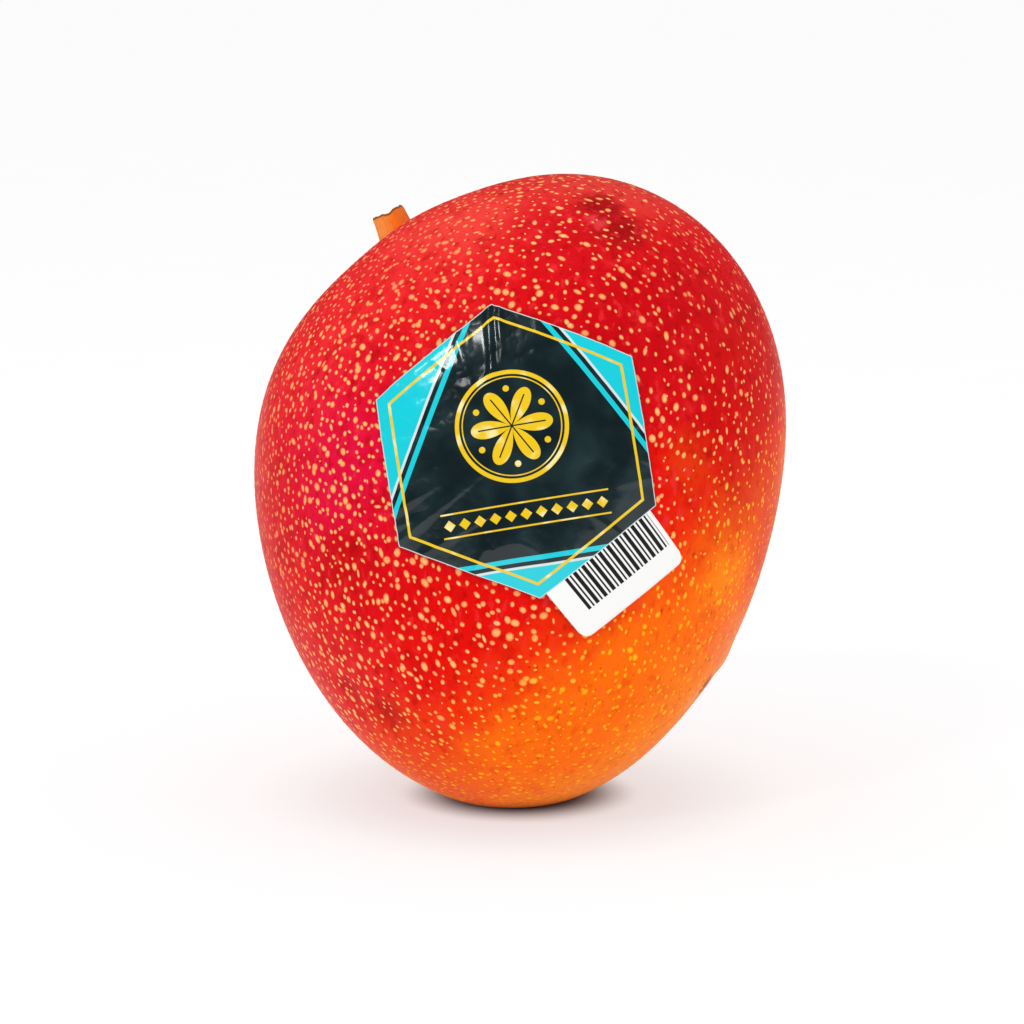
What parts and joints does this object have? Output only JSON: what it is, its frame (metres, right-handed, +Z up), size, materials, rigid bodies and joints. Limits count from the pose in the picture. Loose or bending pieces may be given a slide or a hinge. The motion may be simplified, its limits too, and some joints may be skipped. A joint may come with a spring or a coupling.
{
  "type": "mango",
  "caption": "Ripe red and orange mango with pale spots and a short woody stem stub, standing on its rounded lower end, with a hexagonal foil sticker and its small tab on the front cheek.",
  "frame": {"origin": "middle of the small flat spot under the fruit, on the surface that it stands on", "axes": "+X to the right as the labelled cheek is seen, +Y away from the viewer through the fruit's thickness, +Z up"},
  "size_m": [0.1089, 0.0988, 0.1278],
  "materials": {
    "skin": "waxy satin fruit skin, red going to orange at the lower right, with pale yellow spots",
    "stem_wood": "dry orange-brown stem, dull and fibrous",
    "label_foil": "glossy printed foil, dark teal with gold and turquoise, the tab plain white with bars"
  },
  "bodies": {
    "root": {"fruit": "skin", "stem": "stem_wood", "label": "label_foil"}
  },
  "joints": []
}
